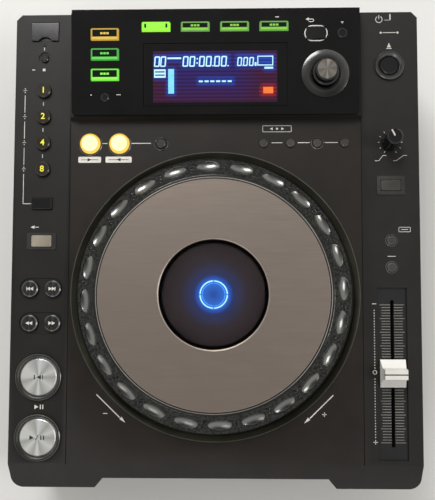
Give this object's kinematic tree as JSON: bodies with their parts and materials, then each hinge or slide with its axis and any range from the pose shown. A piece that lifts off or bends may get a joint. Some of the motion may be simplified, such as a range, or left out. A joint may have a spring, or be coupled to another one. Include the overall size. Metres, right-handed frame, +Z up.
{
  "type": "tabletop disc player",
  "caption": "Tabletop disc player for disc jockeys: black housing, slot-in drive, large turning jog wheel with lit centre, sloping display panel, pitch fader and sprung push buttons.",
  "frame": {"origin": "middle of the footprint, on the surface that the feet stand on", "axes": "+Z up, +Y to the rear where the display and the sockets are, +X to the right for the person who plays it"},
  "size_m": [0.305, 0.359, 0.1065],
  "materials": {
    "housing_black": "fine matte texture",
    "gloss_black": "polished",
    "tray_steel": "satin black paint",
    "rubber_black": "dull",
    "brushed_silver": "turned, radially brushed",
    "platter_metal": "anodised warm grey, fine brushed",
    "grip_chrome": "dark polished",
    "clear_window": "clear",
    "lit_face": "lit display",
    "screen": "smoked screen",
    "board_green": "circuit board",
    "sheet_metal": "zinc plated",
    "jack_metal": "plated",
    "trim_dark": "satin ring",
    "button_black": "soft satin",
    "button_silver": "satin silver",
    "button_amber": "lit amber",
    "button_green": "lit green",
    "button_white": "lit white",
    "fader_silver": "satin silver",
    "bezel_dark": "satin dark ring"
  },
  "bodies": {
    "root": {"top_cover": "housing_black", "base_tray": "tray_steel", "front_panel": "housing_black", "display_panel": "gloss_black", "display_module": "screen", "jog_bezel": "bezel_dark", "jog_post": "button_black", "jog_display": "lit_face", "feet": "rubber_black", "circuit_boards": "board_green", "drive_base": "sheet_metal", "drive_cover": "sheet_metal", "rear_jacks": "jack_metal", "usb_port": "sheet_metal", "fader_plate": "button_black", "trim_rings": "trim_dark"},
    "jog": {"jog_ring": "grip_chrome", "jog_platter": "platter_metal", "jog_window": "clear_window"},
    "selector_shaft": {"selector_shaft": "button_black"},
    "selector_knob": {"selector_knob": "brushed_silver"},
    "speed_knob": {"speed_knob": "button_black"},
    "fader_cap": {"fader_cap": "fader_silver"},
    "usb_cover": {"usb_cover": "button_black"},
    "power_button": {"power_button": "button_black"},
    "disc_hub": {"disc_hub": "button_black"},
    "usb_stop": {"usb_stop": "button_black"},
    "beat_1": {"beat_1": "button_black"},
    "beat_2": {"beat_2": "button_black"},
    "beat_4": {"beat_4": "button_black"},
    "beat_8": {"beat_8": "button_black"},
    "beat_select": {"beat_select": "button_black"},
    "direction": {"direction": "button_silver"},
    "track_back": {"track_back": "button_silver"},
    "track_forward": {"track_forward": "button_silver"},
    "search_back": {"search_back": "button_silver"},
    "search_forward": {"search_forward": "button_silver"},
    "cue": {"cue": "brushed_silver"},
    "play": {"play": "brushed_silver"},
    "loop_in": {"loop_in": "button_amber"},
    "loop_out": {"loop_out": "button_amber"},
    "reloop": {"reloop": "button_silver"},
    "call_back": {"call_back": "button_silver"},
    "call_forward": {"call_forward": "button_silver"},
    "delete": {"delete": "button_black"},
    "memory": {"memory": "button_silver"},
    "eject": {"eject": "button_black"},
    "jog_mode": {"jog_mode": "button_silver"},
    "tempo_range": {"tempo_range": "button_silver"},
    "master_tempo": {"master_tempo": "button_silver"},
    "link_source": {"link_source": "button_amber"},
    "usb_source": {"usb_source": "button_green"},
    "disc_source": {"disc_source": "button_green"},
    "time_mode": {"time_mode": "button_black"},
    "browse": {"browse": "button_white"},
    "tag_list": {"tag_list": "button_silver"},
    "info": {"info": "button_silver"},
    "menu": {"menu": "button_silver"},
    "back": {"back": "button_silver"},
    "tag_track": {"tag_track": "button_silver"}
  },
  "joints": [
    {"name": "jog_turn", "type": "hinge", "parent": "root", "child": "jog", "pos_m": [0, -0.0354, 0.09], "axis": [0, 0, 1], "continuous": true},
    {"name": "selector_push", "type": "slide", "parent": "root", "child": "selector_shaft", "axis": [0, 0.0691, -0.9976], "range_m": [0, 0.0008], "stiffness_N_per_m": 600, "springref_m": -0.001},
    {"name": "selector_turn", "type": "hinge", "parent": "selector_shaft", "child": "selector_knob", "pos_m": [0.0821, 0.12903, 0.09458], "axis": [0, -0.0691, 0.9976], "continuous": true},
    {"name": "speed_turn", "type": "hinge", "parent": "root", "child": "speed_knob", "pos_m": [0.1312, 0.0794, 0.09], "axis": [0, 0, -1], "range_deg": [-120, 180]},
    {"name": "fader_slide", "type": "slide", "parent": "root", "child": "fader_cap", "axis": [0, -1, 0], "range_m": [-0.0504, 0.0504]},
    {"name": "flap_hinge", "type": "hinge", "parent": "root", "child": "usb_cover", "pos_m": [-0.1301, 0.1725, 0.0858], "axis": [-1, 0, 0], "range_deg": [0, 100]},
    {"name": "power_push", "type": "slide", "parent": "root", "child": "power_button", "axis": [0, -1, 0], "range_m": [0, 0.002], "stiffness_N_per_m": 400, "springref_m": -0.002},
    {"name": "disc_turn", "type": "hinge", "parent": "root", "child": "disc_hub", "pos_m": [0, -0.095, 0.04], "axis": [0, 0, 1], "continuous": true},
    {"name": "usb_stop_press", "type": "slide", "parent": "root", "child": "usb_stop", "axis": [0, 0, -1], "range_m": [0, 0.0008], "stiffness_N_per_m": 400, "springref_m": -0.001},
    {"name": "beat_1_press", "type": "slide", "parent": "root", "child": "beat_1", "axis": [0, 0, -1], "range_m": [0, 0.0008], "stiffness_N_per_m": 400, "springref_m": -0.001},
    {"name": "beat_2_press", "type": "slide", "parent": "root", "child": "beat_2", "axis": [0, 0, -1], "range_m": [0, 0.0008], "stiffness_N_per_m": 400, "springref_m": -0.001},
    {"name": "beat_4_press", "type": "slide", "parent": "root", "child": "beat_4", "axis": [0, 0, -1], "range_m": [0, 0.0008], "stiffness_N_per_m": 400, "springref_m": -0.001},
    {"name": "beat_8_press", "type": "slide", "parent": "root", "child": "beat_8", "axis": [0, 0, -1], "range_m": [0, 0.0008], "stiffness_N_per_m": 400, "springref_m": -0.001},
    {"name": "beat_select_press", "type": "slide", "parent": "root", "child": "beat_select", "axis": [0, 0, -1], "range_m": [0, 0.0008], "stiffness_N_per_m": 400, "springref_m": -0.001},
    {"name": "direction_press", "type": "slide", "parent": "root", "child": "direction", "axis": [0, 0, -1], "range_m": [0, 0.0008], "stiffness_N_per_m": 400, "springref_m": -0.001},
    {"name": "track_back_press", "type": "slide", "parent": "root", "child": "track_back", "axis": [0, 0, -1], "range_m": [0, 0.0008], "stiffness_N_per_m": 400, "springref_m": -0.001},
    {"name": "track_forward_press", "type": "slide", "parent": "root", "child": "track_forward", "axis": [0, 0, -1], "range_m": [0, 0.0008], "stiffness_N_per_m": 400, "springref_m": -0.001},
    {"name": "search_back_press", "type": "slide", "parent": "root", "child": "search_back", "axis": [0, 0, -1], "range_m": [0, 0.0008], "stiffness_N_per_m": 400, "springref_m": -0.001},
    {"name": "search_forward_press", "type": "slide", "parent": "root", "child": "search_forward", "axis": [0, 0, -1], "range_m": [0, 0.0008], "stiffness_N_per_m": 400, "springref_m": -0.001},
    {"name": "cue_press", "type": "slide", "parent": "root", "child": "cue", "axis": [0, 0, -1], "range_m": [0, 0.0008], "stiffness_N_per_m": 400, "springref_m": -0.001},
    {"name": "play_press", "type": "slide", "parent": "root", "child": "play", "axis": [0, 0, -1], "range_m": [0, 0.0008], "stiffness_N_per_m": 400, "springref_m": -0.001},
    {"name": "loop_in_press", "type": "slide", "parent": "root", "child": "loop_in", "axis": [0, 0, -1], "range_m": [0, 0.0008], "stiffness_N_per_m": 400, "springref_m": -0.001},
    {"name": "loop_out_press", "type": "slide", "parent": "root", "child": "loop_out", "axis": [0, 0, -1], "range_m": [0, 0.0008], "stiffness_N_per_m": 400, "springref_m": -0.001},
    {"name": "reloop_press", "type": "slide", "parent": "root", "child": "reloop", "axis": [0, 0, -1], "range_m": [0, 0.0008], "stiffness_N_per_m": 400, "springref_m": -0.001},
    {"name": "call_back_press", "type": "slide", "parent": "root", "child": "call_back", "axis": [0, 0, -1], "range_m": [0, 0.0008], "stiffness_N_per_m": 400, "springref_m": -0.001},
    {"name": "call_forward_press", "type": "slide", "parent": "root", "child": "call_forward", "axis": [0, 0, -1], "range_m": [0, 0.0008], "stiffness_N_per_m": 400, "springref_m": -0.001},
    {"name": "delete_press", "type": "slide", "parent": "root", "child": "delete", "axis": [0, 0, -1], "range_m": [0, 0.0008], "stiffness_N_per_m": 400, "springref_m": -0.001},
    {"name": "memory_press", "type": "slide", "parent": "root", "child": "memory", "axis": [0, 0, -1], "range_m": [0, 0.0008], "stiffness_N_per_m": 400, "springref_m": -0.001},
    {"name": "eject_press", "type": "slide", "parent": "root", "child": "eject", "axis": [0, 0, -1], "range_m": [0, 0.0008], "stiffness_N_per_m": 400, "springref_m": -0.001},
    {"name": "jog_mode_press", "type": "slide", "parent": "root", "child": "jog_mode", "axis": [0, 0, -1], "range_m": [0, 0.0008], "stiffness_N_per_m": 400, "springref_m": -0.001},
    {"name": "tempo_range_press", "type": "slide", "parent": "root", "child": "tempo_range", "axis": [0, 0, -1], "range_m": [0, 0.0008], "stiffness_N_per_m": 400, "springref_m": -0.001},
    {"name": "master_tempo_press", "type": "slide", "parent": "root", "child": "master_tempo", "axis": [0, 0, -1], "range_m": [0, 0.0008], "stiffness_N_per_m": 400, "springref_m": -0.001},
    {"name": "link_source_press", "type": "slide", "parent": "root", "child": "link_source", "axis": [0, 0.0691, -0.9976], "range_m": [0, 0.0008], "stiffness_N_per_m": 400, "springref_m": -0.001},
    {"name": "usb_source_press", "type": "slide", "parent": "root", "child": "usb_source", "axis": [0, 0.0691, -0.9976], "range_m": [0, 0.0008], "stiffness_N_per_m": 400, "springref_m": -0.001},
    {"name": "disc_source_press", "type": "slide", "parent": "root", "child": "disc_source", "axis": [0, 0.0691, -0.9976], "range_m": [0, 0.0008], "stiffness_N_per_m": 400, "springref_m": -0.001},
    {"name": "time_mode_press", "type": "slide", "parent": "root", "child": "time_mode", "axis": [0, 0.0691, -0.9976], "range_m": [0, 0.0008], "stiffness_N_per_m": 400, "springref_m": -0.001},
    {"name": "browse_press", "type": "slide", "parent": "root", "child": "browse", "axis": [0, 0.0691, -0.9976], "range_m": [0, 0.0008], "stiffness_N_per_m": 400, "springref_m": -0.001},
    {"name": "tag_list_press", "type": "slide", "parent": "root", "child": "tag_list", "axis": [0, 0.0691, -0.9976], "range_m": [0, 0.0008], "stiffness_N_per_m": 400, "springref_m": -0.001},
    {"name": "info_press", "type": "slide", "parent": "root", "child": "info", "axis": [0, 0.0691, -0.9976], "range_m": [0, 0.0008], "stiffness_N_per_m": 400, "springref_m": -0.001},
    {"name": "menu_press", "type": "slide", "parent": "root", "child": "menu", "axis": [0, 0.0691, -0.9976], "range_m": [0, 0.0008], "stiffness_N_per_m": 400, "springref_m": -0.001},
    {"name": "back_press", "type": "slide", "parent": "root", "child": "back", "axis": [0, 0.0691, -0.9976], "range_m": [0, 0.0008], "stiffness_N_per_m": 400, "springref_m": -0.001},
    {"name": "tag_track_press", "type": "slide", "parent": "root", "child": "tag_track", "axis": [0, 0.0691, -0.9976], "range_m": [0, 0.0008], "stiffness_N_per_m": 400, "springref_m": -0.001}
  ]
}
